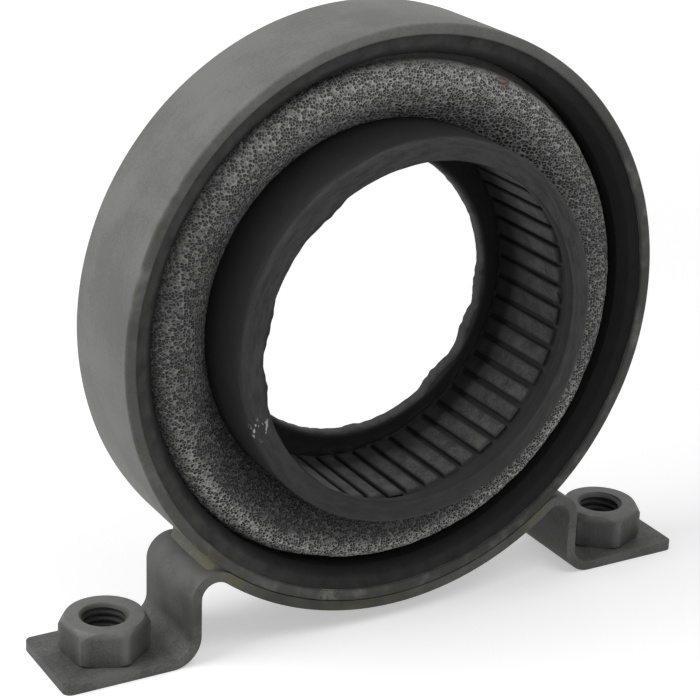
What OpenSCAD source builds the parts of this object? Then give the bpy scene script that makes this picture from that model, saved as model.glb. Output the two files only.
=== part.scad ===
// Driveshaft centre bearing mount: a steel band on a bent foot strap carries a ribbed rubber
// sleeve in a ring of sponge rubber. The shaft runs along Y, and the feet stand on Z = 0.
// The origin is midway between the two bolts, on the underside of the feet. Millimetres.

/* [Bearing seat] */
// Diameter over the crowns of the seat's ribs, a squeeze fit on the bearing
seat_d = 89; // [70:0.5:110]
// Length of the seat between the roots of the two lips
seat_l = 35.8; // [30:0.1:44]
// Number of ribs round the seat
rib_count = 52; // [36:1:60]
// Width of the groove between two ribs
rib_groove = 1.2; // [0.8:0.1:2.4]
// Height of a rib over the wall of the seat
rib_h = 1.1; // [0.6:0.1:1.6]
// Bevel on the crown of a rib
rib_bevel = 0.35; // [0.1:0.05:0.5]
// Plain wall between the front lip and the ribs
rib_front_gap = 6.1; // [0.5:0.1:8]
// Plain wall between the ribs and the root of the rear lip
rib_rear_gap = 2.9; // [0.5:0.1:6]

/* [Rubber sleeve] */
// Wall of the sleeve behind the ribs
sleeve_wall = 1.9; // [1.4:0.1:4]
// Length of the sleeve that stands proud of the band at the front
sleeve_front = 8.7; // [2:0.1:14]
// Height of the front lip over the crowns of the ribs
front_lip_h = 2.3; // [1:0.1:5]
// Thickness of the front lip along the shaft
front_lip_t = 3.4; // [2.4:0.1:6]
// Height of the rear lip over the crowns of the ribs
rear_lip_h = 7.7; // [1:0.1:12]
// Thickness of the rear lip along the shaft
rear_lip_t = 3.8; // [2.4:0.1:6]
// Distance by which the rear lip leans forward from its root to its inner edge
rear_lip_lean = 8.5; // [0:0.1:10]
// Round on the edges of both lips
lip_edge_r = 0.7; // [0.3:0.1:1.1]

/* [Sponge ring] */
// Thickness of the sponge between the sleeve and the liner
foam_t = 16.7; // [12:0.1:26]
// Depth of the sponge's crown behind the edge of the band, front and rear
foam_setback = 2.8; // [1:0.1:5]
// Round on the outer shoulder of the sponge
foam_shoulder_r = 4.4; // [2:0.1:6]
// Groove between the sponge's shoulder and the liner
foam_groove = 1.6; // [0.5:0.1:3]
// Depth behind the crown at which the sponge meets the liner
foam_bond_depth = 7; // [6:0.1:8]
// Depth behind the crown at which the front face meets the sleeve
foam_front_fall = 7.7; // [2:0.1:9]
// Depth behind the crown at which the rear face meets the sleeve
foam_rear_fall = 4; // [2:0.1:9]

/* [Rubber liner] */
// Thickness of the rubber bonded to the inside of the band
liner_t = 5; // [3:0.5:8]
// Bare steel left between the liner and the edge of the band
liner_setback = 0.8; // [0.7:0.1:2]
// Depth over which the liner's edges slope inwards
liner_slope = 3.2; // [1:0.1:6]

/* [Steel band] */
// Wall of the steel band
band_wall = 2.8; // [2:0.1:5]
// Width of the steel band along the shaft
band_w = 28; // [24:0.5:34]
// Round on the edges of the band
band_edge_r = 0.6; // [0.3:0.1:0.7]

/* [Weld nuts] */
// Distance between the two bolts
bolt_spacing = 144; // [120:0.5:170]
// Width of a nut across its flats
nut_af = 19; // [16:0.5:22]
// Height of a nut
nut_h = 9.2; // [6:0.1:14]
// Bore of a nut at the crests of its thread
nut_bore_d = 10.2; // [8:0.1:12.4]
// Countersink at both ends of the thread
nut_sink = 1; // [0.4:0.1:1.4]
// Turn of the left nut about its bolt, in degrees, which the right nut mirrors
nut_turn = -23; // [-30:1:30]

/* [Foot strap] */
// Thickness of the strap
strap_t = 2.5; // [1.5:0.1:4]
// Width of the strap along the shaft
strap_w = 26; // [24:0.5:34]
// Height of the strap's lowest stretch over the underside of the feet
saddle_clearance = 4; // [0:0.1:20]
// Inside radius of the bend where an arch leaves the band
arch_r = 4; // [2:0.1:7]
// Inside radius of the bend between a leg and its foot
foot_bend_r = 5; // [1:0.1:6]
// Clearance between the corners of a nut and the bend of its leg
nut_leg_gap = 0.9; // [0.5:0.1:8]
// Length of a foot outside the corners of its nut
foot_margin = 4.5; // [1:0.1:20]
// Round on the corners of the feet
foot_corner_r = 2; // [0.5:0.1:6]
// Extra radius of the hole in a foot over the bore of its nut
foot_hole_clearance = 1.4; // [1.4:0.1:3]
// Length by which the strap follows the band past the start of an arch, under the weld
saddle_run = 1.2; // [0.8:0.1:1.6]
// Radius of a round that touches the arch and the band where the weld between them ends
weld_r = 1.8; // [0.8:0.1:2]

/* [Hidden] */
$fn = 240;

// Points along each curved stretch of the sponge's section
curve_steps = 6;
// Length by which a cut runs clear of the face that it opens
cut_over = 1;
// Length past the band at which an arch takes over from the saddle, inside its run
arch_join = 0.3;
// Slopes of the chamfers on a nut's corners, at its top and at its base
nut_top_slope = 56;
nut_base_slope = 24;

// Radii from the shaft outwards
rib_crown_r = seat_d / 2;
front_lip_r = rib_crown_r - front_lip_h;
rear_lip_r = rib_crown_r - rear_lip_h;
seat_r = rib_crown_r + rib_h;
sleeve_r = seat_r + sleeve_wall;
liner_r = sleeve_r + foam_t;
band_bore_r = liner_r + liner_t;
band_r = band_bore_r + band_wall;
foam_shoulder = liner_r - foam_groove;
foam_crown = foam_shoulder - foam_shoulder_r;

// Depths behind the front edge of the band
seat_front = front_lip_t - sleeve_front;
seat_rear = seat_front + seat_l;
sleeve_end = seat_rear + rear_lip_t;

rib_w = 2 * PI * rib_crown_r / rib_count - rib_groove;

// Places across the strap, from the middle outwards
nut_corner_r = nut_af / sqrt(3);
bolt_x = bolt_spacing / 2;
foot_end = bolt_x + nut_corner_r + foot_margin;
foot_start = bolt_x - nut_corner_r - nut_leg_gap;
leg_out = foot_start - foot_bend_r;
leg_in = leg_out - strap_t;
arch_x = leg_in - arch_r;

// The arch's outer face touches the band where the saddle ends
axis_h = band_r + strap_t + saddle_clearance;
arch_out_r = arch_r + strap_t;
arch_reach = band_r + arch_out_r;
arch_z = axis_h - sqrt(arch_reach * arch_reach - arch_x * arch_x);
saddle_angle = asin(arch_x / arch_reach);
saddle_end_angle = saddle_angle + saddle_run / band_r * 180 / PI;
arch_end_angle = 90 + saddle_angle - arch_join / arch_out_r * 180 / PI;

// Places a shape drawn about Z, with its height as the depth behind the band's front edge
module on_shaft() {
    translate([0, -strap_w / 2, axis_h])
        rotate([-90, 0, 0])
            children();
}

// Stands an outline of the strap up and draws it out to a width along the shaft
module along_shaft(width) {
    rotate([90, 0, 0])
        linear_extrude(height = width, center = true)
            children();
}

// Rectangle between two corners with all four corners rounded
module rounded_block(low, high, round_r) {
    size = high - low;
    translate(low + [round_r, 0])
        square(size - [2 * round_r, 0]);
    translate(low + [0, round_r])
        square(size - [0, 2 * round_r]);
    for (x = [low.x + round_r, high.x - round_r], y = [low.y + round_r, high.y - round_r])
        translate([x, y])
            circle(round_r);
}

// Bent length of strap about a centre, from one angle to another
module bent_strap(centre, inside_r, from, to) {
    outside_r = inside_r + strap_t;
    wedge = [for (i = [0 : 3]) from + (to - from) * i / 3];
    translate(centre)
        intersection() {
            difference() {
                circle(outside_r);
                circle(inside_r);
            }
            polygon(concat([[0, 0]], [for (a = wedge) 2 * outside_r * [cos(a), sin(a)]]));
        }
}

// Points of a smooth curve from one point to another that heads for a third on the way
function curve(start, aim, end) = [
    for (i = [0 : curve_steps])
        let (t = i / curve_steps)
            (1 - t) * (1 - t) * start + 2 * t * (1 - t) * aim + t * t * end
];

// Edge of one face of the sponge, from the sleeve over the crown to the liner,
// with depths counted from the crown
function foam_face(fall) = concat(
    curve([sleeve_r, fall], [(sleeve_r + foam_crown) / 2, 0], [foam_crown, 0]),
    curve([foam_crown, 0], [foam_shoulder, 0], [foam_shoulder, foam_shoulder_r]),
    [[liner_r, foam_bond_depth]]
);

module outer_ring() {
    color([0.46, 0.46, 0.46])
        on_shaft()
            rotate_extrude()
                rounded_block([band_bore_r, 0], [band_r, band_w], band_edge_r);
}

module rubber_liner() {
    front = liner_setback;
    rear = band_w - liner_setback;
    color([0.16, 0.16, 0.16])
        on_shaft()
            rotate_extrude()
                polygon([
                    [band_bore_r, front],
                    [liner_r, front + liner_slope],
                    [liner_r, rear - liner_slope],
                    [band_bore_r, rear]
                ]);
}

module foam_ring() {
    front_face = [for (p = foam_face(foam_front_fall)) [p.x, foam_setback + p.y]];
    rear_face = [for (p = foam_face(foam_rear_fall)) [p.x, band_w - foam_setback - p.y]];
    last = len(rear_face) - 1;
    color([0.36, 0.36, 0.36])
        on_shaft()
            rotate_extrude()
                polygon(concat(front_face, [for (i = [last : -1 : 0]) rear_face[i]]));
}

// One rib along the seat, rooted halfway into the sleeve's wall
module seat_rib() {
    half = rib_w / 2;
    root_r = seat_r + sleeve_wall / 2;
    translate([0, 0, seat_front + rib_front_gap])
        linear_extrude(height = seat_l - rib_front_gap - rib_rear_gap)
            polygon([
                [rib_crown_r, -half + rib_bevel],
                [rib_crown_r + rib_bevel, -half],
                [root_r, -half],
                [root_r, half],
                [rib_crown_r + rib_bevel, half],
                [rib_crown_r, half - rib_bevel]
            ]);
}

// Section of the rear lip, which leans forward to an inner edge with two rounded corners
module rear_lip() {
    slope = rear_lip_lean / (sleeve_r - rear_lip_r);
    slant = sqrt(1 + slope * slope);
    edge_front = seat_rear - rear_lip_lean;
    edge_rear = edge_front + rear_lip_t;
    round_x = rear_lip_r + lip_edge_r;
    round_front = edge_front + lip_edge_r * (slope + slant);
    round_rear = edge_rear + lip_edge_r * (slope - slant);
    side = lip_edge_r / slant * [slope, -1];
    polygon([
        [rear_lip_r, round_front],
        [round_x, round_front] + side,
        [sleeve_r, seat_rear],
        [sleeve_r, sleeve_end],
        [round_x, round_rear] - side,
        [rear_lip_r, round_rear]
    ]);
    for (y = [round_front, round_rear])
        translate([round_x, y])
            circle(lip_edge_r);
}

module bearing_sleeve() {
    // The plain wall is rooted halfway into both lips
    wall_front = seat_front - front_lip_t / 2;
    wall_rear = seat_rear + rear_lip_t / 2;
    color([0.12, 0.12, 0.12])
        on_shaft() {
            rotate_extrude() {
                rounded_block([front_lip_r, -sleeve_front], [sleeve_r, seat_front], lip_edge_r);
                translate([seat_r, wall_front])
                    square([sleeve_wall, wall_rear - wall_front]);
                rear_lip();
            }
            for (i = [0 : rib_count - 1])
                rotate([0, 0, i * 360 / rib_count])
                    seat_rib();
        }
}

// Right half of the stretch of strap that lies against the band, with X across and Y up
module saddle_outline() {
    bent_strap([0, axis_h], band_r, -90, -90 + saddle_end_angle);
}

// Right half of the whole strap: saddle, arch, leg, bend and foot
module half_strap_outline() {
    saddle_outline();
    bent_strap([arch_x, arch_z], arch_r, 0, arch_end_angle);
    translate([leg_in, strap_t + foot_bend_r])
        square([strap_t, arch_z - strap_t - foot_bend_r]);
    bent_strap([foot_start, strap_t + foot_bend_r], foot_bend_r, 180, 270);
    translate([foot_start, 0])
        square([foot_end - foot_start, strap_t]);
}

module foot_strap() {
    color([0.34, 0.34, 0.34])
        difference() {
            intersection() {
                along_shaft(strap_w) {
                    half_strap_outline();
                    mirror([1, 0])
                        half_strap_outline();
                }
                translate([0, 0, -cut_over])
                    linear_extrude(height = axis_h)
                        rounded_block(
                            [-foot_end, -strap_w / 2], [foot_end, strap_w / 2], foot_corner_r);
            }
            for (x = [-bolt_x, bolt_x])
                translate([x, 0, -cut_over])
                    cylinder(h = strap_t + 2 * cut_over, r = nut_bore_d / 2 + foot_hole_clearance);
        }
}

// Hexagon nut standing on Z = 0, chamfered and countersunk at both ends
module hex_nut() {
    bore_r = nut_bore_d / 2;
    blank_r = nut_corner_r + cut_over;
    chamfer_run = blank_r - nut_af / 2;
    difference() {
        intersection() {
            cylinder(h = nut_h, r = nut_corner_r, $fn = 6);
            rotate_extrude()
                polygon([
                    [0, 0],
                    [nut_af / 2, 0],
                    [blank_r, chamfer_run * tan(nut_base_slope)],
                    [blank_r, nut_h - chamfer_run * tan(nut_top_slope)],
                    [nut_af / 2, nut_h],
                    [0, nut_h]
                ]);
        }
        translate([0, 0, -cut_over])
            cylinder(h = nut_h + 2 * cut_over, r = bore_r);
        for (end = [0, 1])
            translate([0, 0, end * nut_h])
                mirror([0, 0, end])
                    cylinder(h = nut_sink, r1 = bore_r + nut_sink, r2 = bore_r);
    }
}

module left_weld_nut() {
    color([0.36, 0.36, 0.36])
        translate([-bolt_x, 0, strap_t])
            rotate([0, 0, nut_turn])
                hex_nut();
}

module right_weld_nut() {
    color([0.36, 0.36, 0.36])
        translate([bolt_x, 0, strap_t])
            rotate([0, 0, -nut_turn])
                hex_nut();
}

// Section of the weld in the right groove, filled flat up to where a round touches its sides
module weld_outline() {
    axis = [0, axis_h];
    arch = [arch_x, arch_z];
    band_side = band_r + weld_r;
    arch_side = arch_out_r + weld_r;
    // Angle at the shaft's axis between the centres of the arch and of the bead
    lift = acos(
        (arch_reach * arch_reach + band_side * band_side - arch_side * arch_side)
        / (2 * arch_reach * band_side));
    bead_angle = -90 + saddle_angle + lift;
    bead = axis + band_side * [cos(bead_angle), sin(bead_angle)];
    root = axis + band_r * [sin(saddle_angle), -cos(saddle_angle)];
    arch_end = arch + arch_out_r / arch_side * (bead - arch);
    band_end = axis + band_r / band_side * (bead - axis);
    // The face runs on into the band and the arch, which are then cut away
    face = band_end - arch_end;
    over = cut_over / norm(face) * face;
    difference() {
        polygon([root, arch_end - over, band_end + over]);
        translate(axis)
            circle(band_r);
        translate(arch)
            circle(arch_out_r);
        saddle_outline();
    }
}

module strap_welds() {
    color([0.38, 0.37, 0.3])
        for (side = [0, 1])
            mirror([side, 0, 0])
                along_shaft(strap_w - 2 * weld_r)
                    weld_outline();
}

outer_ring();
rubber_liner();
foam_ring();
bearing_sleeve();
foot_strap();
left_weld_nut();
right_weld_nut();
strap_welds();
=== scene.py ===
from math import acos, asin, atan2, cos, degrees, hypot, pi, radians, sin, sqrt, tan

import bpy
from mathutils import Matrix, Vector
from mathutils.kdtree import KDTree
from mathutils.noise import noise


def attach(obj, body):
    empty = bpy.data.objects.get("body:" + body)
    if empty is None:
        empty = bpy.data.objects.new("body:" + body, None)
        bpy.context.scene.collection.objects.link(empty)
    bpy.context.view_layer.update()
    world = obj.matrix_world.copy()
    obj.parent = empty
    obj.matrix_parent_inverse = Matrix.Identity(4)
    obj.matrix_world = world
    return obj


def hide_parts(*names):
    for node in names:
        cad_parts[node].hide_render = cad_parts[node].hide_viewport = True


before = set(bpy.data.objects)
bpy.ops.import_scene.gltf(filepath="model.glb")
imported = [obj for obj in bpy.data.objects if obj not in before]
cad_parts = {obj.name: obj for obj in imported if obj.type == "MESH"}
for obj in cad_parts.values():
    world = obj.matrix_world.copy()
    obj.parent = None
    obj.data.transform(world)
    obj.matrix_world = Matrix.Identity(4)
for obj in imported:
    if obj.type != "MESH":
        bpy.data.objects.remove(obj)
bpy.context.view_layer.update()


# Steel band. A strip of mild steel is rolled into a ring, welded end to end and phosphated to a
# matt grey. The rubber is bonded to its inside, and the foot strap is welded under it.
mm = 0.001
axis_height = 78.5 * mm
band_front = -13 * mm
band_radius = 72 * mm
band_bore = 69.2 * mm
band_width = 28 * mm
band_edge = 0.6 * mm
rolled_wave = 0.22 * mm
rolled_wave_size = 28 * mm
doubles_gap = 0.004 * mm
band_rear = band_front + band_width


def clear_selection():
    """Leaves edit mode and deselects every object."""
    if bpy.context.object and bpy.context.object.mode != "OBJECT":
        bpy.ops.object.mode_set(mode="OBJECT")
    bpy.ops.object.select_all(action="DESELECT")


def take(piece):
    """Makes one piece the only selected object and the active one."""
    clear_selection()
    piece.select_set(True)
    bpy.context.view_layer.objects.active = piece
    return piece


def named(name):
    """Names the object that was just added."""
    piece = bpy.context.object
    piece.name = piece.data.name = name
    return piece


def round_corners(corners, steps=4):
    """A closed outline of (across, along, rounding) corners, with an arc at each rounded one."""
    outline = []
    for index, (across, along, rounding) in enumerate(corners):
        corner = Vector((across, along))
        back = (Vector(corners[index - 1][:2]) - corner).normalized()
        ahead = (Vector(corners[(index + 1) % len(corners)][:2]) - corner).normalized()
        if not rounding:
            outline.append(corner)
            continue
        half = back.angle(ahead) / 2
        centre = corner + (back + ahead).normalized() * rounding / sin(half)
        first = (corner + back * rounding / tan(half) - centre).normalized()
        last = (corner + ahead * rounding / tan(half) - centre).normalized()
        for step in range(steps + 1):
            outline.append(centre + first.slerp(last, step / steps) * rounding)
    return outline


def section_loop(name, section):
    """A closed loop of edges through (radius, depth) points, standing beside the shaft's axis."""
    clear_selection()
    bpy.ops.mesh.primitive_circle_add(vertices=len(section), radius=mm, fill_type="NOTHING")
    loop = named(name)
    for vertex, (radius, depth) in zip(loop.data.vertices, section):
        vertex.co = (radius, band_front + depth, axis_height)
    return loop


def merge_and_face_out(piece):
    """Merges doubled points and turns all faces outwards."""
    take(piece)
    bpy.ops.object.mode_set(mode="EDIT")
    bpy.ops.mesh.select_all(action="SELECT")
    bpy.ops.mesh.remove_doubles(threshold=doubles_gap)
    bpy.ops.mesh.normals_make_consistent(inside=False)
    bpy.ops.object.mode_set(mode="OBJECT")


def spin_about_shaft(turn, steps, copies=False):
    """Spins what is selected about the shaft's axis, into a sheet or into copies."""
    bpy.ops.mesh.spin(
        steps=steps, angle=turn, center=(0, 0, axis_height), axis=(0, 1, 0), dupli=copies)


def turn_round_shaft(name, section, sectors, sector_steps):
    """A ring: a closed section of (radius, depth) points spun through one sector, which is copied."""
    ring = section_loop(name, section)
    bpy.ops.object.mode_set(mode="EDIT")
    bpy.ops.mesh.select_all(action="SELECT")
    spin_about_shaft(2 * pi / sectors, sector_steps)
    bpy.ops.mesh.select_all(action="SELECT")
    spin_about_shaft(2 * pi, sectors, copies=True)
    bpy.ops.object.mode_set(mode="OBJECT")
    merge_and_face_out(ring)
    return ring


def apply_modifiers(piece):
    """Applies all of a piece's modifiers, in their order."""
    take(piece)
    for modifier in list(piece.modifiers):
        bpy.ops.object.modifier_apply(modifier=modifier.name)


def make_uneven(piece, depth, size):
    """Moves the surface in and out by smooth noise, since no rolled or moulded piece is quite true."""
    lumps = bpy.data.textures.new(piece.name + "_lumps", "CLOUDS")
    lumps.noise_scale = size
    lumps.noise_depth = 2
    wave = piece.modifiers.new("uneven", "DISPLACE")
    wave.texture = lumps
    wave.texture_coords = "LOCAL"
    wave.strength = depth
    wave.mid_level = 0.5
    apply_modifiers(piece)


def smooth(piece, angle=35):
    """Shades a piece smooth, except across edges that turn by more than the angle."""
    take(piece)
    bpy.ops.object.shade_smooth_by_angle(angle=radians(angle))


class Tone:
    """A value, colour or place in a node tree. Arithmetic on it adds Math nodes to the tree."""

    def __init__(self, tree, socket=None):
        self.tree = tree
        self.socket = socket

    def node(self, kind, settings, sockets, output=0):
        """Adds a node: its settings first, then the values or links of its sockets."""
        made = self.tree.nodes.new(kind)
        for name, value in settings.items():
            setattr(made, name, value)
        for name, value in sockets.items():
            if isinstance(value, Tone):
                self.tree.links.new(value.socket, made.inputs[name])
            else:
                made.inputs[name].default_value = value
        return Tone(self.tree, made.outputs[output] if made.outputs else None)

    def math(self, operation, first, second):
        """Adds one Math node."""
        return self.node("ShaderNodeMath", {"operation": operation}, {0: first, 1: second})

    def __add__(self, other):
        return self.math("ADD", self, other)

    def __radd__(self, other):
        return self.math("ADD", other, self)

    def __sub__(self, other):
        return self.math("SUBTRACT", self, other)

    def __rsub__(self, other):
        return self.math("SUBTRACT", other, self)

    def __mul__(self, other):
        return self.math("MULTIPLY", self, other)

    def __rmul__(self, other):
        return self.math("MULTIPLY", other, self)

    def __truediv__(self, other):
        return self.math("DIVIDE", self, other)

    def __pow__(self, other):
        return self.math("POWER", self, other)

    def __abs__(self):
        return self.math("ABSOLUTE", self, 0)


def new_finish(name):
    """An empty material, and the Object coordinates that its patterns lie on."""
    finish = bpy.data.materials.new(name)
    finish.use_nodes = True
    finish.node_tree.nodes.clear()
    return finish, Tone(finish.node_tree).node("ShaderNodeTexCoord", {}, {}, "Object")


def coordinates(place):
    """A place's three parts: across, along the shaft and up."""
    split = place.node("ShaderNodeSeparateXYZ", {}, {0: place}).socket.node
    return [Tone(place.tree, socket) for socket in split.outputs]


def step_length(first, second):
    """Length of a step with these two parts, which are at right angles."""
    return (first * first + second * second) ** 0.5


def shaft_distance(place):
    """Distance of a point from the shaft's axis."""
    across, along, up = coordinates(place)
    return step_length(across, up - axis_height)


def gap_to(place, spot):
    """Distance of a point from one spot."""
    return place.node(
        "ShaderNodeVectorMath", {"operation": "DISTANCE"}, {0: place, 1: spot}, "Value")


def stretch(place, across, along, up):
    """A place scaled along each axis. A factor below 1 draws a pattern out that way."""
    return place.node(
        "ShaderNodeVectorMath", {"operation": "MULTIPLY"}, {0: place, 1: (across, along, up)})


def clouds(place, size, detail=3.0, rough=0.5):
    """Smooth noise from 0 to 1 with lumps of about that size."""
    return place.node(
        "ShaderNodeTexNoise", {},
        {"Vector": place, "Scale": 1 / size, "Detail": detail, "Roughness": rough})


def ramp(value, low, high):
    """0 below low and 1 above high, or the other way round where low is the larger."""
    return value.node(
        "ShaderNodeMapRange", {"interpolation_type": "SMOOTHSTEP"},
        {"Value": value, "From Min": low, "From Max": high})


def mix(share, first, second):
    """The first colour, with a share of the second."""
    return share.node(
        "ShaderNodeMix", {"data_type": "RGBA"}, {0: share, 6: first, 7: second}, 2)


def lay_finish(piece, finish, colour, roughness, height, relief, metal=0.0, gloss=0.5):
    """Closes a material with its bump, and puts it on the piece."""
    bump = height.node("ShaderNodeBump", {}, {"Distance": relief, "Height": height})
    shader = height.node(
        "ShaderNodeBsdfPrincipled", {},
        {"Base Color": colour, "Roughness": roughness, "Metallic": metal,
         "Specular IOR Level": gloss, "Normal": bump})
    height.node("ShaderNodeOutputMaterial", {}, {"Surface": shader})
    piece.data.materials.clear()
    piece.data.materials.append(finish)


phosphate_light = (0.174, 0.174, 0.169, 1)
phosphate_dark = (0.120, 0.120, 0.116, 1)
painted_edge_shade = (0.020, 0.020, 0.019, 1)
weld_stain = (0.112, 0.108, 0.052, 1)
weld_spatter = (0.46, 0.46, 0.40, 1)
olive_spots = (
    (-63.7, 110.0, 3.4), (-70.4, 96.0, 3.0), (-70.0, 60.0, 3.4),
    (-69.0, 55.5, 3.0), (40.9, 17.9, 5.0), (-52.0, 26.0, 7.0))
weld_place = Vector((46.4 * mm, 0, 22.6 * mm))
bare_spots = ((-18.4, 10.2, 4.2), (-52.6, 27.2, 2.4), (-55.5, 31.0, 1.8))


def near_front_spots(place, spots):
    """1 at spots (across, up, reach) in millimetres on the steel's front edges, 0 away from them."""
    share = 0
    for across, up, reach in spots:
        gap = gap_to(place, (across * mm, band_front, up * mm))
        share = ramp(gap, reach * mm, 0.3 * reach * mm) + share
    return share


def front_edge(along):
    """1 on the front edges of the steel, 0 behind them."""
    return ramp(along, band_front + 0.9 * mm, band_front + 0.3 * mm)


def joint_stain(place):
    """Heat stain along the joint of band and strap, and in spots on their front edges."""
    across, along, up = coordinates(place)
    radius = shaft_distance(place)
    joint = ramp(radius, band_radius - 2.2 * mm, band_radius - 0.6 * mm)
    joint = joint * ramp(radius, band_radius + 6.0 * mm, band_radius + 1.6 * mm)
    low = ramp(up, 42 * mm, 34 * mm)
    near_edge = ramp(along, band_front + 4.0 * mm, band_front + 0.6 * mm)
    near_edge = near_edge + ramp(along, band_rear - 4.0 * mm, band_rear - 0.6 * mm)
    patchy = ramp(clouds(place, 6 * mm, 4), 0.34, 0.60)
    spots = near_front_spots(place, olive_spots) * ramp(clouds(place, 2.5 * mm, 3), 0.3, 0.55)
    from_weld = step_length(abs(across) - weld_place.x, up - weld_place.z)
    burnt = ramp(from_weld, 7.0 * mm, 2.0 * mm) * patchy
    at_left = 0.3 + 0.7 * ramp(across, 25 * mm, -15 * mm)
    return (near_edge * joint * low * patchy * 0.85 + burnt * 0.8) * at_left + spots * 0.6


def phosphate(name, light, dark, stain_strength):
    """Phosphated steel, up to its colour, roughness and height: clouds, grain and faint drawn lines."""
    finish, place = new_finish(name)
    drawn = clouds(stretch(place, 0.06, 1.0, 0.06), 0.7 * mm, 4)
    patches = clouds(place, 16 * mm, 5, 0.55)
    grain = clouds(place, 0.55 * mm, 2)
    level = drawn * 0.16 + patches + grain * 0.44
    colour = mix(ramp(level, 0.62, 0.98), dark, light)
    colour = mix(joint_stain(place) * stain_strength, colour, weld_stain)
    bare = near_front_spots(place, bare_spots) * ramp(clouds(place, 1.6 * mm, 3), 0.38, 0.52)
    on_rim = ramp(shaft_distance(place), band_radius + 0.3 * mm, band_radius - 0.5 * mm)
    colour = mix(bare * on_rim * stain_strength, colour, weld_spatter)
    roughness = 0.50 + patches * 0.24
    height = drawn * 0.10 + grain * 0.34 + patches * 0.6
    return finish, place, colour, roughness, height


band = turn_round_shaft(
    "steel_band",
    round_corners([
        (band_bore, 0, band_edge),
        (band_radius, 0, band_edge),
        (band_radius, band_width, band_edge),
        (band_bore, band_width, band_edge)]),
    sectors=24, sector_steps=12)
make_uneven(band, rolled_wave, rolled_wave_size)
smooth(band)
finish, place, colour, roughness, height = phosphate(
    "band_phosphate", phosphate_light, phosphate_dark, stain_strength=0.85)
across, along, up = coordinates(place)
# Painted shade darkens the band's front rim in patches, most low down and on the right, and not at the
# top.
edge_shade = front_edge(along) * ramp(up, 150 * mm, 112 * mm)
edge_shade_strength = 0.52 + 0.28 * ramp(across, -40 * mm, 50 * mm) + 0.16 * ramp(up, 50 * mm, 15 * mm)
colour = mix(edge_shade * edge_shade_strength * ramp(clouds(place, 5 * mm, 4), 0.15, 0.55), colour, painted_edge_shade)
lay_finish(band, finish, colour, roughness, height, relief=0.05 * mm, metal=0.15, gloss=0.4)
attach(band, "root")
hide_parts("outer_ring")


# Foot strap. One strip of the same steel is bent cold into foot, leg, arch, saddle, arch, leg and
# foot. The saddle cradles the band, and each foot has a clearance hole under its nut.
strap_thickness = 2.5 * mm
strap_width = 26 * mm
arch_x = 48.63 * mm
arch_inside = 4 * mm
bend_inside = 5 * mm
foot_start = 60.13 * mm
foot_end = 87.47 * mm
foot_corner = 2 * mm
bolt_x = 72 * mm
foot_hole = 6.5 * mm
strap_edge = 0.8 * mm
saddle_steps = 44
arch_steps = 28
bend_steps = 16
foot_steps = 6
hair = 0.01 * mm
strap_light = (0.132, 0.132, 0.128, 1)
strap_dark = (0.057, 0.057, 0.055, 1)
strap_painted_sheen = (0.114, 0.114, 0.109, 1)
arch_outside = arch_inside + strap_thickness
arch_reach = band_radius + arch_outside
arch_z = axis_height - sqrt(arch_reach ** 2 - arch_x ** 2)
saddle_angle = degrees(asin(arch_x / arch_reach))
bend_z = strap_thickness + bend_inside


def arc(centre, radius, start, end, steps):
    """Points of an arc from one angle to another, in degrees."""
    turns = [start + (end - start) * step / steps for step in range(steps + 1)]
    return [
        (centre[0] + radius * cos(radians(turn)), centre[1] + radius * sin(radians(turn)))
        for turn in turns]


def deselect_mesh():
    """Deselects the whole mesh of the active piece."""
    bpy.ops.object.mode_set(mode="EDIT")
    bpy.ops.mesh.select_all(action="DESELECT")
    bpy.ops.object.mode_set(mode="OBJECT")


def cut_away(piece, tool, operation="DIFFERENCE"):
    """Cuts a piece with a tool body, which is then removed."""
    cut = piece.modifiers.new("cut", "BOOLEAN")
    cut.operation = operation
    cut.object = tool
    cut.solver = "EXACT"
    apply_modifiers(piece)
    bpy.data.objects.remove(tool)


right_half = (
    arc((0, axis_height), band_radius + strap_thickness, -90, -90 + saddle_angle, saddle_steps)
    + arc((arch_x, arch_z), arch_inside, 90 + saddle_angle, 0, arch_steps)[1:]
    + arc((foot_start, bend_z), bend_z, 180, 270, bend_steps)
    + [(foot_start + (foot_end - foot_start) * step / foot_steps, 0)
       for step in range(1, foot_steps + 1)])
underside = [(-x, z) for x, z in reversed(right_half[1:])] + right_half

clear_selection()
bpy.ops.mesh.primitive_grid_add(x_subdivisions=len(underside) - 1, y_subdivisions=4, size=2)
strap = named("bent_strap")
rows = sorted({round(vertex.co.x, 5) for vertex in strap.data.vertices})
for vertex in strap.data.vertices:
    x, z = underside[rows.index(round(vertex.co.x, 5))]
    vertex.co = (x, vertex.co.y * strap_width / 2, z)
deselect_mesh()
for vertex in strap.data.vertices:
    at_end = abs(vertex.co.x) > foot_end - hair
    at_side = abs(vertex.co.y) > strap_width / 2 - hair
    vertex.select = at_end and at_side
bpy.ops.object.mode_set(mode="EDIT")
bpy.ops.mesh.select_mode(type="VERT")
bpy.ops.mesh.bevel(affect="VERTICES", offset=foot_corner, segments=5, offset_type="OFFSET")
bpy.ops.object.mode_set(mode="OBJECT")
wall = strap.modifiers.new("wall", "SOLIDIFY")
wall.thickness = strap_thickness
wall.offset = 1
wall.use_even_offset = True
apply_modifiers(strap)
for side in (-1, 1):
    clear_selection()
    bpy.ops.mesh.primitive_cylinder_add(
        vertices=72, radius=foot_hole, depth=4 * strap_thickness, location=(side * bolt_x, 0, 0))
    cut_away(strap, named("foot_drill"))
edges = strap.modifiers.new("edges", "BEVEL")
edges.width = strap_edge
edges.segments = 3
edges.limit_method = "ANGLE"
edges.angle_limit = radians(50)
apply_modifiers(strap)
smooth(strap, angle=40)
finish, place, colour, roughness, height = phosphate(
    "strap_phosphate", strap_light, strap_dark, stain_strength=0.9)
across, along, up = coordinates(place)
# The tops of the arches are painted lighter, as a painted sheen.
lightened = ramp(up, 13 * mm, 20 * mm) * ramp(abs(across), 43 * mm, 48 * mm)
colour = mix(lightened * ramp(clouds(place, 6 * mm, 4), 0.22, 0.70), colour, strap_painted_sheen)
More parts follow.
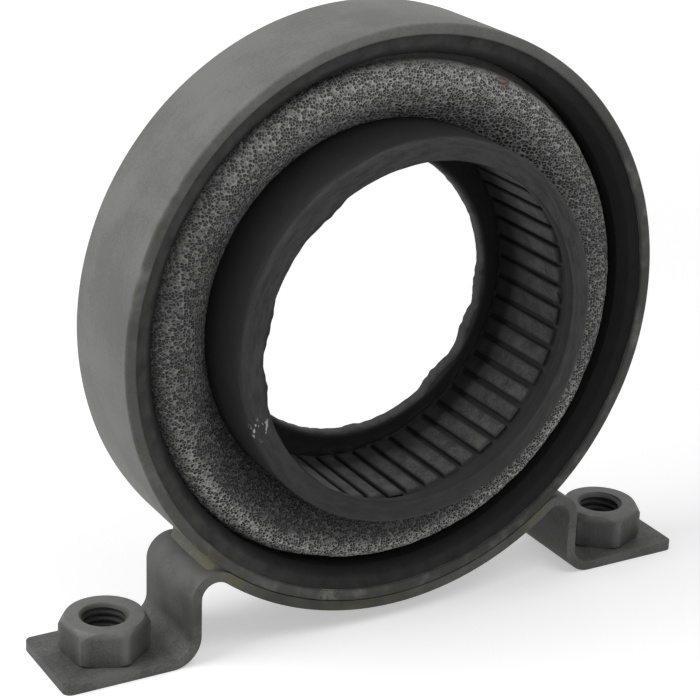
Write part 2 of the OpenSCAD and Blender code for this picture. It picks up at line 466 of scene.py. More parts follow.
# The left leg is darker in patches at mid height.
leg_darkening = ramp(up, 5 * mm, 8 * mm) * ramp(up, 21 * mm, 12 * mm) * ramp(across, 10 * mm, -10 * mm)
colour = mix(leg_darkening * ramp(clouds(place, 7 * mm, 4), 0.2, 0.65), colour, strap_dark)
# Painted shade darkens the strap's front edge along the saddle, as on the band's rim above it.
edge_shade = front_edge(along) * clouds(place, 5 * mm, 4)
colour = mix(edge_shade * ramp(abs(across), 44 * mm, 36 * mm) * 0.9, colour, painted_edge_shade)
lay_finish(strap, finish, colour, roughness, height, relief=0.06 * mm, metal=0.15, gloss=0.4)
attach(strap, "root")
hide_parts("foot_strap")


# Weld nuts. A hexagon nut with a coarse thread stands on each foot, with a steep chamfer on top and a
# slight one at its base, and is welded down under its corners, over the hole in the foot for a bolt.
nut_flats = 19 * mm
nut_height = 9.2 * mm
nut_turn = 23
top_slope = 56
base_slope = 24
thread_crest = 5.1 * mm
thread_root = 6.0 * mm
thread_pitch = 1.75 * mm
thread_turns = 9
tap_overrun = 1 * mm
nut_sink = 1 * mm
nut_edge = 0.45 * mm
nut_light = (0.098, 0.098, 0.096, 1)
nut_dark = (0.054, 0.054, 0.052, 1)
nut_worn_and_highlight = (0.225, 0.225, 0.220, 1)
bore_dark = (0.026, 0.026, 0.025, 1)
nut_middle = strap_thickness + nut_height / 2
nut_top = strap_thickness + nut_height


def settle(piece):
    """Puts a piece's place and turn into its mesh."""
    take(piece)
    bpy.ops.object.transform_apply(location=True, rotation=True, scale=True)
    return piece


def threaded_rod():
    """A rod with the nut's thread on it, which cuts the thread out of the nut."""
    one_pitch = (
        (thread_crest, 0), (thread_crest, 0.26), (thread_root, 0.52), (thread_root, 0.70),
        (thread_crest, 1))
    clear_selection()
    bpy.ops.mesh.primitive_circle_add(vertices=len(one_pitch), radius=mm, fill_type="NOTHING")
    rod = named("thread_tap")
    for vertex, (radius, share) in zip(rod.data.vertices, one_pitch):
        vertex.co = (radius, 0, share * thread_pitch - thread_pitch)
    deselect_mesh()
    for edge in rod.data.edges:
        edge.select = set(edge.vertices) == {0, len(one_pitch) - 1}
    bpy.ops.object.mode_set(mode="EDIT")
    bpy.ops.mesh.select_mode(type="EDGE")
    bpy.ops.mesh.delete(type="EDGE_FACE")
    bpy.ops.object.mode_set(mode="OBJECT")
    screw = rod.modifiers.new("screw", "SCREW")
    screw.axis = "Z"
    screw.steps = screw.render_steps = 48
    screw.screw_offset = thread_pitch
    screw.iterations = thread_turns
    screw.use_merge_vertices = True
    apply_modifiers(rod)
    merge_and_face_out(rod)
    for height_cut, above in ((strap_thickness - tap_overrun, False), (nut_top + tap_overrun, True)):
        take(rod)
        bpy.ops.object.mode_set(mode="EDIT")
        bpy.ops.mesh.select_all(action="SELECT")
        bpy.ops.mesh.bisect(
            plane_co=(0, 0, height_cut), plane_no=(0, 0, 1), use_fill=True,
            clear_outer=above, clear_inner=not above)
        bpy.ops.object.mode_set(mode="OBJECT")
    merge_and_face_out(rod)
    return rod


clear_selection()
bpy.ops.mesh.primitive_cylinder_add(
    vertices=6, radius=nut_flats / sqrt(3), depth=nut_height, location=(0, 0, nut_middle),
    rotation=(0, 0, radians(30 - nut_turn)))
left_nut = settle(named("left_hex_nut"))
for low_radius, high_radius in (
        (nut_flats / 2 + nut_height / tan(radians(top_slope)), nut_flats / 2),
        (nut_flats / 2, nut_flats / 2 + nut_height / tan(radians(base_slope)))):
    clear_selection()
    bpy.ops.mesh.primitive_cone_add(
        vertices=144, radius1=low_radius, radius2=high_radius, depth=nut_height,
        location=(0, 0, nut_middle))
    cut_away(left_nut, named("chamfer_tool"), "INTERSECT")
edges = left_nut.modifiers.new("edges", "BEVEL")
edges.width = nut_edge
edges.segments = 2
edges.limit_method = "ANGLE"
edges.angle_limit = radians(20)
apply_modifiers(left_nut)
cut_away(left_nut, threaded_rod())
for face, wide, narrow in (
        (nut_top, thread_crest, thread_crest + 2 * nut_sink),
        (strap_thickness, thread_crest + 2 * nut_sink, thread_crest)):
    clear_selection()
    bpy.ops.mesh.primitive_cone_add(
        vertices=72, radius1=wide, radius2=narrow, depth=2 * nut_sink, location=(0, 0, face))
    cut_away(left_nut, named("countersink"))

finish, place, colour, roughness, height = phosphate(
    "nut_phosphate", nut_light, nut_dark, stain_strength=0.0)
across, along, up = coordinates(place)
from_bolt = step_length(abs(across) - bolt_x, along)
# The top and its chamfer are paler, partly worn and partly a painted highlight, and the corners get
# painted highlights.
nut_patches = clouds(place, 3 * mm, 4)
lightened = ramp(up, nut_top - 2.4 * mm, nut_top - 0.2 * mm) * (0.25 + 0.5 * nut_patches)
corner_highlights = ramp(from_bolt, 10.0 * mm, 10.7 * mm) * nut_patches * 0.5
lightened = lightened.math("MAXIMUM", lightened, corner_highlights)
colour = mix(lightened, colour, nut_worn_and_highlight)
# The threaded bore is darker.
colour = mix(ramp(from_bolt, 6.3 * mm, 5.4 * mm) * 0.8, colour, bore_dark)
lay_finish(left_nut, finish, colour, roughness, height, relief=0.05 * mm, metal=0.2, gloss=0.45)
smooth(left_nut, angle=30)
right_nut = left_nut.copy()
right_nut.data = left_nut.data.copy()
right_nut.name = right_nut.data.name = "right_hex_nut"
bpy.context.collection.objects.link(right_nut)
right_nut.data.transform(Matrix.Rotation(radians(2 * nut_turn), 4, "Z"))
left_nut.data.transform(Matrix.Translation((-bolt_x, 0, 0)))
right_nut.data.transform(Matrix.Translation((bolt_x, 0, 0)))
for nut, node in ((left_nut, "left_weld_nut"), (right_nut, "right_weld_nut")):
    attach(nut, "root")
    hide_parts(node)


# Weld seams. An arc weld fills the groove between the band and each arch of the strap. It is a little
# hollow and faintly rippled, and keeps the dull olive stain of the heat.
weld_round = 1.8 * mm
weld_length = 24 * mm
weld_hollow = 0.35
weld_sink = 0.25 * mm
weld_steps = 60
weld_face_steps = 12
weld_end_height = 0.4
weld_end_sharpness = 12
ripple_gap = 2.1 * mm
ripple_height = 0.006
weld_lump = 0.16 * mm
weld_lump_size = 3.2 * mm
bead_highlight = (0.240, 0.240, 0.205, 1)
bead_dark = (0.104, 0.104, 0.090, 1)

band_side = band_radius + weld_round
arch_side = arch_outside + weld_round
lift = acos((arch_reach ** 2 + band_side ** 2 - arch_side ** 2) / (2 * arch_reach * band_side))
axis_point = Vector((0, axis_height))
arch_point = Vector((arch_x, arch_z))
root_turn = radians(saddle_angle - 90)
weld_root = axis_point + (band_radius - weld_sink) * Vector((cos(root_turn), sin(root_turn)))
round_turn = root_turn + lift
round_centre = axis_point + band_side * Vector((cos(round_turn), sin(round_turn)))
arch_end = arch_point + (round_centre - arch_point).normalized() * arch_outside
band_end = axis_point + (round_centre - axis_point).normalized() * band_radius
weld_section = [weld_root, arch_point + (arch_end - arch_point) * (1 - weld_sink / arch_outside)]
for step in range(weld_face_steps + 1):
    flat = arch_end.lerp(band_end, step / weld_face_steps)
    hollow = round_centre + (flat - round_centre).normalized() * weld_round
    weld_section.append(flat.lerp(hollow, weld_hollow))
weld_section.append(axis_point + (band_end - axis_point) * (1 - weld_sink / band_radius))

clear_selection()
bpy.ops.mesh.primitive_circle_add(vertices=len(weld_section), radius=mm, fill_type="NOTHING")
welds = named("weld_seams")
for vertex, (x, z) in zip(welds.data.vertices, weld_section):
    vertex.co = (x, -weld_length / 2, z)
run = welds.modifiers.new("run", "SCREW")
run.axis = "Y"
run.angle = 0
run.screw_offset = weld_length
run.steps = run.render_steps = weld_steps
apply_modifiers(welds)
bpy.ops.object.mode_set(mode="EDIT")
bpy.ops.mesh.select_all(action="SELECT")
bpy.ops.mesh.fill_holes(sides=0)
bpy.ops.object.mode_set(mode="OBJECT")
merge_and_face_out(welds)
for vertex in welds.data.vertices:
    end_share = abs(vertex.co.y) / (weld_length / 2)
    ripple = 1 - ripple_height * sin(2 * pi * vertex.co.y / ripple_gap)
    filled = sqrt(max(0.0, 1 - end_share ** weld_end_sharpness)) * ripple
    root = Vector((weld_root.x, vertex.co.y, weld_root.y))
    vertex.co = root + (vertex.co - root) * (weld_end_height + (1 - weld_end_height) * filled)
make_uneven(welds, weld_lump, weld_lump_size)
mirror = welds.modifiers.new("other_side", "MIRROR")
mirror.use_axis[0] = True
apply_modifiers(welds)
merge_and_face_out(welds)
smooth(welds, angle=50)
finish, place = new_finish("weld_fillet")
lumps = clouds(place, 3 * mm, 4, 0.6)
scale = clouds(place, 0.7 * mm, 2)
# Pale patches on the lumps of the bead are painted highlights.
colour = mix(ramp(lumps * 0.6 + scale * 0.4, 0.54, 0.72), bead_dark, bead_highlight)
colour = mix(ramp(clouds(place, 7 * mm, 3), 0.45, 0.65) * 0.6, colour, weld_stain)
lay_finish(
    welds, finish, colour, 0.45 + lumps * 0.3, lumps * 0.6 + scale * 0.4, relief=0.12 * mm, metal=0.25)
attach(welds, "root")
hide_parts("strap_welds")


# Rubber liner. Solid rubber is moulded and bonded to the inside of the band, and slopes back from both
# its edges to the sponge. It is matt black, with a dry grey bloom where it thins out on the steel.
liner_radius = 64.2 * mm
liner_setback = 0.8 * mm
liner_slope = 3.2 * mm
liner_round = 0.5 * mm
liner_shoulder = 2.2 * mm
liner_shoulder_depth = 0.75 * mm
liner_shoulder_round = 1.2 * mm
liner_wave = 0.45 * mm
liner_wave_size = 6 * mm
liner_black = (0.0085, 0.0085, 0.0085, 1)
liner_bloom = (0.074, 0.074, 0.072, 1)

liner_front = liner_setback
liner_rear = band_width - liner_setback
liner_corners = [
    (band_bore, liner_front, 0),
    (liner_radius + liner_shoulder, liner_front + liner_shoulder_depth, liner_shoulder_round),
    (liner_radius, liner_front + liner_slope, liner_round),
    (liner_radius, liner_rear - liner_slope, liner_round),
    (liner_radius + liner_shoulder, liner_rear - liner_shoulder_depth, liner_shoulder_round),
    (band_bore, liner_rear, 0)]
liner = turn_round_shaft(
    "liner_ring", round_corners(liner_corners, 6), sectors=24, sector_steps=12)
make_uneven(liner, liner_wave, liner_wave_size)
smooth(liner)
finish, place = new_finish("liner_rubber_black")
across, along, up = coordinates(place)
radius = shaft_distance(place)
mottle = clouds(place, 4 * mm, 5, 0.6)
pits = clouds(place, 0.6 * mm, 2)
bloom = ramp(radius, liner_radius - 0.2 * mm, liner_radius + 2.8 * mm)
bloom = bloom * ramp(mottle, 0.0, 0.8) * ramp(across, 62 * mm, 5 * mm)
bloom = bloom * (1 - 0.5 * ramp(up, 50 * mm, 20 * mm) * ramp(across, -50 * mm, -20 * mm))
colour = mix(bloom, liner_black, liner_bloom)
lay_finish(
    liner, finish, colour, 0.70 + mottle * 0.25, mottle + pits * 0.35, relief=0.12 * mm, gloss=0.2)
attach(liner, "root")
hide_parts("rubber_liner")


# Bearing sleeve. A tough black rubber sleeve is moulded with a front lip, a seat of fine ribs that
# squeeze the bearing, and a rear lip. Ragged flash is left along the lips where the mould halves met.
sleeve_radius = 47.5 * mm
seat_radius = 45.6 * mm
crown_radius = 44.5 * mm
front_lip = 42.2 * mm
rear_lip = 36.8 * mm
sleeve_front = -8.7 * mm
seat_front = -5.3 * mm
seat_rear = 30.5 * mm
sleeve_rear = 34.3 * mm
rear_lip_lean = 8.5 * mm
outer_edge = 1.5 * mm
lip_edge = 0.7 * mm
sharp_edge = 0.35 * mm
root_edge = 0.5 * mm
lean_edge = 0.4 * mm
seat_steps = 12
seat_margin = 0.1 * mm
rib_count = 52
rib_front = 0.8 * mm
rib_rear = 27.6 * mm
rib_groove = 1.2 * mm
rib_bevel = 0.45 * mm
rib_spread = 1.1 * mm
rib_slope = 0.6 * mm
rib_end_depth = 1 * mm
rib_seed = Vector((1.7, 0.5, 3.1))
lip_reach = 0.4 * mm
lip_front_depth = 0.6 * mm
front_flash = 0.15 * mm
front_rags = ((130, 9, 0.6), (168, 9, 0.9), (188, 7, 0.6))
rear_flash = 0.3 * mm
rear_rags = ((-46, 9, 1.2), (-22, 8, 1.1), (-4, 8, 0.7), (74, 5, 0.5), (-88, 4, 0.5))
rag_grain = 17
rag_spread = 0.6
sleeve_wave = 0.2 * mm
sleeve_wave_size = 6 * mm
streak_circle = 9 * mm
sleeve_black = (0.0108, 0.0108, 0.0107, 1)
sleeve_grey = (0.0390, 0.0390, 0.0384, 1)
sleeve_worn_and_lit = (0.1400, 0.1400, 0.1370, 1)
sleeve_chip = (0.42, 0.42, 0.41, 1)
chip_place = Vector((-42.4 * mm, -21.7 * mm, 62.4 * mm))

pitch = 2 * pi / rib_count
groove_turn = rib_groove / crown_radius
rib_turn = pitch - groove_turn
sleeve_corners = [
    (sleeve_radius, sleeve_front, outer_edge),
    (front_lip, sleeve_front, sharp_edge),
    (front_lip, seat_front, lip_edge),
    (seat_radius, seat_front, root_edge)]
for step in range(seat_steps + 1):
    sleeve_corners.append((seat_radius, rib_front + (rib_rear - rib_front) * step / seat_steps, 0))
lean = rear_lip_lean / (sleeve_radius - rear_lip)
sleeve_corners += [
    (seat_radius, seat_rear - lean * (sleeve_radius - seat_radius), lean_edge),
    (rear_lip, seat_rear - rear_lip_lean, lip_edge),
    (rear_lip, sleeve_rear - rear_lip_lean, lip_edge),
    (sleeve_radius, sleeve_rear, lip_edge)]
sleeve = section_loop("ribbed_sleeve", round_corners(sleeve_corners))
bpy.ops.object.mode_set(mode="EDIT")
bpy.ops.mesh.select_all(action="SELECT")
for turn, steps in ((groove_turn / 2, 2), (rib_turn, 6), (groove_turn / 2, 2)):
    spin_about_shaft(turn, steps)
bpy.ops.mesh.select_all(action="SELECT")
bpy.ops.mesh.normals_make_consistent(inside=False)
bpy.ops.mesh.select_all(action="DESELECT")
bpy.ops.object.mode_set(mode="OBJECT")


def turn_about_shaft(point):
    """Angle of a point about the shaft, from the right side upwards."""
    return atan2(point.z - axis_height, point.x)


def away_from_shaft(point):
    """Step from the shaft's axis straight out to a point."""
    return Vector((point.x, 0, point.z - axis_height))


for polygon in sleeve.data.polygons:
    middle = polygon.center
    depth = middle.y - band_front
    turn = abs(turn_about_shaft(middle))
    on_seat = abs(away_from_shaft(middle).length - seat_radius) < seat_margin
    on_seat = on_seat and rib_front < depth < rib_rear
    polygon.select = on_seat and groove_turn / 2 < turn < pitch - groove_turn / 2
bpy.ops.object.mode_set(mode="EDIT")
bpy.ops.mesh.select_mode(type="FACE")
bpy.ops.mesh.extrude_region()
bpy.ops.object.mode_set(mode="OBJECT")
for vertex in sleeve.data.vertices:
    if vertex.select:
        offset = away_from_shaft(vertex.co)
        vertex.co += offset.normalized() * (crown_radius - offset.length)
bpy.ops.object.mode_set(mode="EDIT")
bpy.ops.mesh.region_to_loop()
bpy.ops.mesh.bevel(offset=rib_bevel, segments=3)
bpy.ops.mesh.select_all(action="SELECT")
spin_about_shaft(2 * pi, rib_count, copies=True)
bpy.ops.object.mode_set(mode="OBJECT")
merge_and_face_out(sleeve)
to_axis = Matrix.Translation((0, 0, axis_height))
sleeve.data.transform(to_axis @ Matrix.Rotation(pitch / 2, 4, "Y") @ to_axis.inverted())


def flash_width(turn, rest, rags):
    """How far flash stands in at a turn round the lip: a thin rest, and rags.

    Each rag is its middle and its half width in degrees, and its height in millimetres."""
    width = rest
    for middle, half, height in rags:
        gap = (degrees(turn) - middle + 180) % 360 - 180
        width += height * mm * max(0.0, 1 - (gap / half) ** 2)
    spot = rag_grain * Vector((cos(turn), sin(turn), 0))
    return width * (1 + rag_spread * noise(spot))


for vertex in sleeve.data.vertices:
    offset = away_from_shaft(vertex.co)
    turn = turn_about_shaft(vertex.co)
    depth = vertex.co.y - band_front
    rise = (seat_radius - offset.length) / (seat_radius - crown_radius)
    at_front_end = rib_front - hair < depth < rib_front + rib_end_depth
    on_rib = 0.02 < rise < 1.1
    if at_front_end and on_rib:
        rib = round(turn % (2 * pi) / pitch)
        uneven = noise(Vector((rib * rib_seed.x, rib_seed.y, rib_seed.z)))
        vertex.co.y += rib_spread * uneven + rib_slope * rise
    if offset.length < rear_lip + lip_reach:
        vertex.co -= offset.normalized() * flash_width(turn, rear_flash, rear_rags)
    elif depth < sleeve_front + lip_front_depth and offset.length < front_lip + lip_reach:
        vertex.co -= offset.normalized() * flash_width(turn, front_flash, front_rags)
make_uneven(sleeve, sleeve_wave, sleeve_wave_size)
smooth(sleeve)
finish, place = new_finish("sleeve_rubber_black")
across, along, up = coordinates(place)
radius = shaft_distance(place)
mottle = clouds(place, 5 * mm, 5, 0.6)
flecks = clouds(place, 0.8 * mm, 4, 0.65)
depth = along - band_front

# Mould streaks run round the lips. Dust lies in them and on the front lip's face, whose grey fades
# towards the bottom as painted shade, and on the left fades in softly over the rounded edge as painted
# shading. The seat is lifted to grey, partly dust and partly painted light in the shaded bore.
way_over_lip = sleeve_radius - radius - depth
round_lip = place.node("ShaderNodeCombineXYZ", {}, {
    0: across / radius * streak_circle,
    1: way_over_lip,
    2: (up - axis_height) / radius * streak_circle})
streaks = clouds(round_lip, 1.1 * mm, 4, 0.6)
at_left = ramp(across, 5 * mm, -30 * mm)
lip_face = ramp(way_over_lip, 6.6 * mm, 8.6 * mm) * (1 - at_left)
lip_face = lip_face + ramp(way_over_lip, 4.5 * mm, 12.5 * mm) * at_left
lip_face = lip_face * ramp(radius, front_lip - 0.1 * mm, front_lip + 0.3 * mm)
lip_face = lip_face * (0.22 + 0.78 * ramp(up, 25 * mm, 75 * mm))
seat = ramp(depth, -4 * mm, 0) * ramp(radius, seat_radius + 1.0 * mm, seat_radius + 0.4 * mm)
pale_share = lip_face * (0.9 * flecks + 3.2 * streaks - 1.35) + seat * 0.55
pale_share = pale_share + ramp(way_over_lip, 0, 3 * mm) * ramp(streaks, 0.45, 0.75) * 0.15
colour = mix(pale_share, sleeve_black, sleeve_grey)

# The crowns of the ribs are worn pale, in the middle of each rib. Painted light makes them paler
# towards the front and low down, and painted shade fades them towards the rear.
crown = ramp(radius, crown_radius + 0.8 * mm, crown_radius + 0.2 * mm)
crown = crown * ramp(radius, front_lip - 0.2 * mm, front_lip + 0.8 * mm)
crown = crown * ramp(depth, 0, 2 * mm) * ramp(depth, rib_rear + 0.4 * mm, rib_rear - 2.6 * mm)
low = ramp(up, 85 * mm, 45 * mm)
crown = crown * (0.12 + 0.25 * low + 0.88 * ramp(depth, 23 * mm, 8 * mm))
share = place.math("FRACT", place.math("ARCTAN2", across, up - axis_height) / pitch, 0) - 0.5
crown = crown * ramp(abs(share), 0.08, 0.30)

# The rear lip's free edge gets a painted highlight, and low in the seat the shaded foot of that lip is
# painted lighter.
rear_edge_highlight = ramp(radius, rear_lip + 0.6 * mm, rear_lip + 0.1 * mm) * 0.4
from_lip = depth - (seat_rear - rear_lip_lean) - (radius - rear_lip) * lean
low_lip_light = ramp(from_lip, 1.6 * mm, 0.8 * mm) * ramp(from_lip, -2.0 * mm, -1.2 * mm)
low_lip_light = low_lip_light * ramp(radius, rear_lip + 1.2 * mm, crown_radius - 1.0 * mm)
low_lip_light = low_lip_light * ramp(up, 75 * mm, 45 * mm)
rub = ramp(flecks * 0.35 + mottle * 0.65, 0.30, 0.72)
worn_and_lit = crown * rub + rear_edge_highlight * ramp(mottle, 0.3, 0.6) + low_lip_light * rub * 0.45
colour = mix(worn_and_lit, colour, sleeve_worn_and_lit)

# A few pale chips have broken out of the front lip.
chips = ramp(clouds(stretch(place, 1.0, 1.0, 0.6), 0.9 * mm, 1), 0.59, 0.65)
chips = chips * ramp(gap_to(place, chip_place), 3.6 * mm, 1.6 * mm)
colour = mix(chips, colour, sleeve_chip)
lay_finish(
    sleeve, finish, colour, 0.55 + mottle * 0.28, mottle + flecks * (0.25 + 0.5 * crown),
    relief=0.14 * mm, gloss=0.35)
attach(sleeve, "root")
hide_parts("bearing_sleeve")


# Sponge ring. Open-cell sponge rubber is foamed between the sleeve and the liner and lets the sleeve
# float. Its cut cells show as pale webs over dark pores, and a closed skin covers part of its shoulder.
sponge_crown = 58.2 * mm
sponge_shoulder = 62.6 * mm
sponge_setback = 2.8 * mm
shoulder_depth = 4.4 * mm
bond_depth = 7 * mm
front_fall = 7.7 * mm
rear_fall = 4 * mm
front_gap = 0.40 * mm
rear_gap = 0.46 * mm
pore_size = 0.76 * mm
wide_pore_size = 1.2 * mm
pore_depth = 0.26 * mm
cell_warp = 0.5 * mm
cell_warp_size = 1.4 * mm
sponge_swell = 0.6 * mm
sponge_swell_size = 7 * mm
bond_margin = 0.8 * mm
liner_clearance = 0.15 * mm
closing_start = 0.3
closing_end = 0.8
web_pale = (0.350, 0.350, 0.342, 1)
web_grey = (0.210, 0.210, 0.206, 1)
web_dusty_and_lit = (0.580, 0.580, 0.567, 1)
skin_grey = (0.180, 0.180, 0.176, 1)
pore_painted_shade = (0.048, 0.048, 0.047, 1)
pore_dusty_and_lit = (0.080, 0.080, 0.078, 1)
sponge_stain = (0.230, 0.120, 0.112, 1)
stain_place = Vector((26.7 * mm, -9.5 * mm, 133.7 * mm))


def curve(start, aim, end, steps=60):
    """Points of a smooth curve that heads for a third point on the way."""
    points = []
    for step in range(steps + 1):
        share = step / steps
        weights = ((1 - share) ** 2, 2 * share * (1 - share), share ** 2)
        points.append(tuple(
            sum(weight * point[side] for weight, point in zip(weights, (start, aim, end)))
            for side in (0, 1)))
    return points


def even_points(line, gap):
    """Points along a line of short steps, about one gap apart."""
    lengths = [0.0]
    for first, second in zip(line, line[1:]):
        lengths.append(lengths[-1] + hypot(second[0] - first[0], second[1] - first[1]))
    count = round(lengths[-1] / gap)
    points = []
    index = 0
    for step in range(count + 1):
        goal = lengths[-1] * step / count
        while index < len(lengths) - 2 and lengths[index + 1] < goal:
            index += 1
        share = (goal - lengths[index]) / (lengths[index + 1] - lengths[index])
        points.append(tuple(
            line[index][side] + share * (line[index + 1][side] - line[index][side])
            for side in (0, 1)))
    return points


def sponge_face(fall, gap):
    """One face of the sponge from the sleeve over the crown to the liner, with depth from the crown."""
    line = curve(
        (sleeve_radius, fall), ((sleeve_radius + sponge_crown) / 2, 0), (sponge_crown, 0))
    line += curve(
        (sponge_crown, 0), (sponge_shoulder, 0), (sponge_shoulder, shoulder_depth))[1:]
    line.append((liner_radius, bond_depth))
    return even_points(line, gap)


def cells(flat, size):
    """Cut foam cells of about one size: 0 on the webs to 1 in a cell, and a chance value for each."""
    sockets = {"Vector": flat, "Scale": 1 / size}
    walls = flat.node(
        "ShaderNodeTexVoronoi", {"voronoi_dimensions": "2D", "feature": "DISTANCE_TO_EDGE"}, sockets)
    chance = flat.node(
        "ShaderNodeTexVoronoi", {"voronoi_dimensions": "2D", "feature": "F1"}, sockets, "Color")
    middle = Tone(chance.tree, chance.socket.node.outputs["Distance"])
    return ramp(walls, 0.0, 0.17) * ramp(middle, 0.80, 0.40), coordinates(chance)[0]


def sponge_pores(place, flat):
    """How deep the pores are at a point of the plain sponge, from 0 on a web to 1 in an open pore."""
    radius = shaft_distance(place)
    across, along, up = coordinates(place)
    warp = place.node(
        "ShaderNodeTexNoise", {}, {"Vector": place, "Scale": 1 / cell_warp_size, "Detail": 2.0}, 1)
    flat = place.node(
        "ShaderNodeVectorMath", {"operation": "MULTIPLY_ADD"},
        {0: warp, 1: (cell_warp, cell_warp, 0), 2: flat})
    fine, fine_chance = cells(flat, pore_size)
    wide, wide_chance = cells(flat, wide_pore_size)
    wide_zone = ramp(radius + clouds(place, 4 * mm, 2) * 8 * mm, 58.0 * mm, 56.0 * mm)
    wide_zone = wide_zone * ramp(up, 55 * mm, 85 * mm)
    open_fine = fine * (0.42 + 0.58 * ramp(fine_chance, 0.0, 0.75))
    open_wide = wide * (0.62 + 0.38 * ramp(wide_chance, 0.1, 0.8)) * (0.70 + 0.30 * fine)
    depth = open_fine * (1 - wide_zone) + open_wide * wide_zone
    skin = ramp(radius + clouds(place, 4 * mm, 3) * 3 * mm, 62.2 * mm, 64.2 * mm)
    return depth * (1 - 0.75 * skin * ramp(across, -30 * mm, 10 * mm))


def straight_rise(value, low, high):
    """0 below low, 1 above high and an even rise between them."""
    return min(1.0, max(0.0, (value - low) / (high - low)))


front_face = [
    (radius, sponge_setback + depth) for radius, depth in sponge_face(front_fall, front_gap)]
rear_face = [
    (radius, band_width - sponge_setback - depth)
    for radius, depth in sponge_face(rear_fall, rear_gap)]
sponge = turn_round_shaft(
    "sponge_ring", front_face + rear_face[::-1], sectors=40, sector_steps=22)

# The cells are drawn on the cut faces laid out flat, so each point gets its place on them. Then the
# front shoulder is closed against the liner on the left side.
face_points = KDTree(len(front_face) + len(rear_face))
face_lengths = []
for face in (front_face, rear_face):
    length = sleeve_radius
    before = face[0]
    for point in face:
        length += hypot(point[0] - before[0], point[1] - before[1])
        face_points.insert((*point, 0), len(face_lengths))
        face_lengths.append(length)
        before = point
face_points.balance()
plain_place = sponge.data.attributes.new("plain_place", "FLOAT_VECTOR", "POINT")
cut_face = sponge.data.attributes.new("cut_face", "FLOAT_VECTOR", "POINT")
for index, vertex in enumerate(sponge.data.vertices):
    offset = away_from_shaft(vertex.co)
    depth = vertex.co.y - band_front
    nearest = face_points.find((offset.length, depth, 0))[1]
    spread = offset.normalized() * face_lengths[nearest]
    cut_face.data[index].vector = (spread.x + (nearest >= len(front_face)), spread.z, 0)
    if depth < band_width / 2:
        at_left = straight_rise(-offset.x / offset.length, closing_start, closing_end)
        outwards = straight_rise(offset.length, sponge_crown, sponge_shoulder)
        widest = liner_radius - liner_clearance - sponge_shoulder
        reach = min(liner_radius, offset.length + at_left * outwards * widest)
        vertex.co += offset.normalized() * (reach - offset.length)
    plain_place.data[index].vector = vertex.co

# The pores are sunk into the mesh, but not where the sponge is bonded to the rubber.
pore_tree = bpy.data.node_groups.new("sponge_pores", "GeometryNodeTree")
for side in ("INPUT", "OUTPUT"):
    pore_tree.interface.new_socket("Geometry", in_out=side, socket_type="NodeSocketGeometry")
plain = Tone(pore_tree).node("NodeGroupInput", {}, {})
place = plain.node("GeometryNodeInputPosition", {}, {})
normal = plain.node("GeometryNodeInputNormal", {}, {})
radius = shaft_distance(place)
bonded = ramp(radius, sleeve_radius, sleeve_radius + bond_margin)
bonded = bonded * ramp(radius, liner_radius, liner_radius - bond_margin)
swell = (clouds(place, sponge_swell_size, 2) - 0.5) * sponge_swell
flat = plain.node(
    "GeometryNodeInputNamedAttribute", {"data_type": "FLOAT_VECTOR"}, {"Name": "cut_face"})
shift = (swell - sponge_pores(place, flat) * pore_depth) * bonded
move = plain.node("ShaderNodeVectorMath", {"operation": "SCALE"}, {0: normal, "Scale": shift})
pitted = plain.node("GeometryNodeSetPosition", {}, {"Geometry": plain, "Offset": move})
plain.node("NodeGroupOutput", {}, {0: pitted})
pores = sponge.modifiers.new("pores", "NODES")
pores.node_group = pore_tree
apply_modifiers(sponge)
smooth(sponge, angle=180)

# The webs are pale, paler at the top from dust and painted light, with a crust outside and a dark smear
# inside at the bottom. Painted shade darkens the pores, and the left side towards the liner.
finish, place = new_finish("sponge_cells")
plain = place.node("ShaderNodeAttribute", {"attribute_name": "plain_place"}, {}, "Vector")
flat = place.node("ShaderNodeAttribute", {"attribute_name": "cut_face"}, {}, "Vector")
radius = shaft_distance(plain)
depth = sponge_pores(plain, flat)
patches = clouds(plain, 6 * mm, 3)
pale_share = clouds(plain, 0.5 * mm, 3)
web = mix(ramp(patches * 0.4 + pale_share * 0.6, 0.34, 0.64), web_grey, web_pale)
across, along, up = coordinates(plain)
dusty_and_lit = ramp(up, 95 * mm, 138 * mm)
crust = ramp(up, 70 * mm, 40 * mm) * ramp(radius, 57 * mm, 60 * mm)
web = mix(dusty_and_lit * 0.85 + crust * 0.9, web, web_dusty_and_lit)
skin = ramp(radius, 60.6 * mm, 62.5 * mm) * (1 - 0.5 * dusty_and_lit) * ramp(across, -30 * mm, 10 * mm)
smear = ramp(up, 65 * mm, 40 * mm) * ramp(radius + patches * 4 * mm, 60.5 * mm, 56.5 * mm)
smear = smear * ramp(across, 30 * mm, 10 * mm)
web = mix(skin, web, skin_grey)
web = mix(smear * 0.6, web, pore_dusty_and_lit)
# Painted shade darkens the pores.
colour = mix(ramp(depth, 0.04, 0.80), web, mix(dusty_and_lit, pore_painted_shade, pore_dusty_and_lit))
shade = 0.16 + 0.5 * ramp(radius, 60.0 * mm, 63.8 * mm)
colour = mix(shade * ramp(across, 0, -45 * mm), colour, pore_painted_shade)
colour = mix(
    ramp(gap_to(plain, stain_place), 2.6 * mm, 0.8 * mm) * 0.6, colour, sponge_stain)
lay_finish(sponge, finish, colour, 0.85 + patches * 0.1, 1 - depth, relief=0.2 * mm, gloss=0.2)
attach(sponge, "root")
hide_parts("foam_ring")


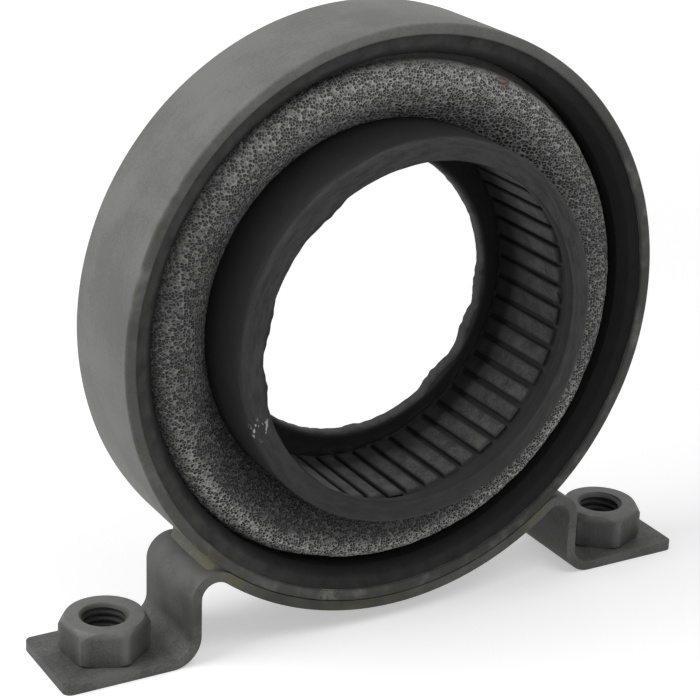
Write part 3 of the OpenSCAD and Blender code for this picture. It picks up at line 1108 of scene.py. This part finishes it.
# Photo set. The mount stands on a pale floor in soft studio light, with a large lamp high on the left
# and a weaker one high in front, and is seen from the front left, a little from above.
floor_colour = (0.84, 0.84, 0.84, 1)
floor_size = 6
floor_drop = 0.05 * mm
near_glow = 0.42
far_glow = 0.74
glow_start = 0.2
glow_end = 0.9
no_glow = (0, 0, 0, 1)
full_glow = (1, 1, 1, 1)
fill_light = 0.38
camera_target = Vector((-14.77 * mm, -13 * mm, 74.22 * mm))
camera_distance = 507.6 * mm
camera_azimuth = -30.29
camera_elevation = 21.34
camera_roll = 2.05
camera_lens = 111.5
camera_sensor = 36
camera_nearest = 0.01


def background_shown(start):
    """1 where the background is looked at, also in a gloss or through glass, 0 where it lights."""
    paths = start.node("ShaderNodeLightPath", {}, {}).socket.node
    camera_ray, gloss_ray, glass_ray = [
        Tone(start.tree, paths.outputs[kind])
        for kind in ("Is Camera Ray", "Is Glossy Ray", "Is Transmission Ray")]
    return start.math("MAXIMUM", camera_ray, start.math("MAXIMUM", gloss_ray, glass_ray))


clear_selection()
bpy.ops.mesh.primitive_plane_add(size=floor_size, location=(0, 0, -floor_drop))
floor = settle(named("pale_floor"))
finish, place = new_finish("pale_floor_paper")
lit = place.node("ShaderNodeBsdfDiffuse", {}, {"Color": floor_colour})
away = place.node("ShaderNodeVectorMath", {"operation": "LENGTH"}, {0: place}, "Value")
brightness = near_glow + (far_glow - near_glow) * ramp(away, glow_start, glow_end)
brightness = brightness * background_shown(place)
glow = place.node(
    "ShaderNodeEmission", {}, {"Color": mix(brightness, no_glow, full_glow), "Strength": 1.0})
both = place.node("ShaderNodeAddShader", {}, {0: lit, 1: glow})
place.node("ShaderNodeOutputMaterial", {}, {"Surface": both})
floor.data.materials.append(finish)

world = bpy.data.worlds.new("studio")
bpy.context.scene.world = world
world.use_nodes = True
world.node_tree.nodes.clear()
shown = background_shown(Tone(world.node_tree))
sky = shown.node(
    "ShaderNodeBackground", {},
    {"Color": full_glow, "Strength": fill_light + (1 - fill_light) * shown})
sky.node("ShaderNodeOutputWorld", {}, {"Surface": sky})


def soft_lamp(name, place, aim, size, power):
    """Adds a square lamp that faces its aim."""
    clear_selection()
    bpy.ops.object.light_add(type="AREA", location=place)
    lamp = named(name)
    lamp.data.shape = "SQUARE"
    lamp.data.size = size
    lamp.data.energy = power
    lamp.rotation_euler = (Vector(aim) - Vector(place)).to_track_quat("-Z", "Y").to_euler()


soft_lamp("key_lamp", place=(-0.60, 0.05, 0.64), aim=(0, 0, 0.07), size=0.5, power=3.7)
soft_lamp("front_lamp", place=(0.08, -0.42, 0.80), aim=(0, 0, 0.12), size=0.4, power=1.4)

turn = radians(camera_azimuth)
tilt = radians(camera_elevation)
looking = Vector((-sin(turn) * cos(tilt), cos(turn) * cos(tilt), -sin(tilt)))
clear_selection()
bpy.ops.object.camera_add(location=camera_target - looking * camera_distance)
camera = named("photo_camera")
camera.rotation_mode = "QUATERNION"
camera.rotation_quaternion = (
    looking.to_track_quat("-Z", "Y") @ Matrix.Rotation(radians(camera_roll), 3, "Z").to_quaternion())
camera.data.lens = camera_lens
camera.data.sensor_width = camera_sensor
camera.data.clip_start = camera_nearest
bpy.context.scene.camera = camera
bpy.context.scene.view_settings.view_transform = "Standard"
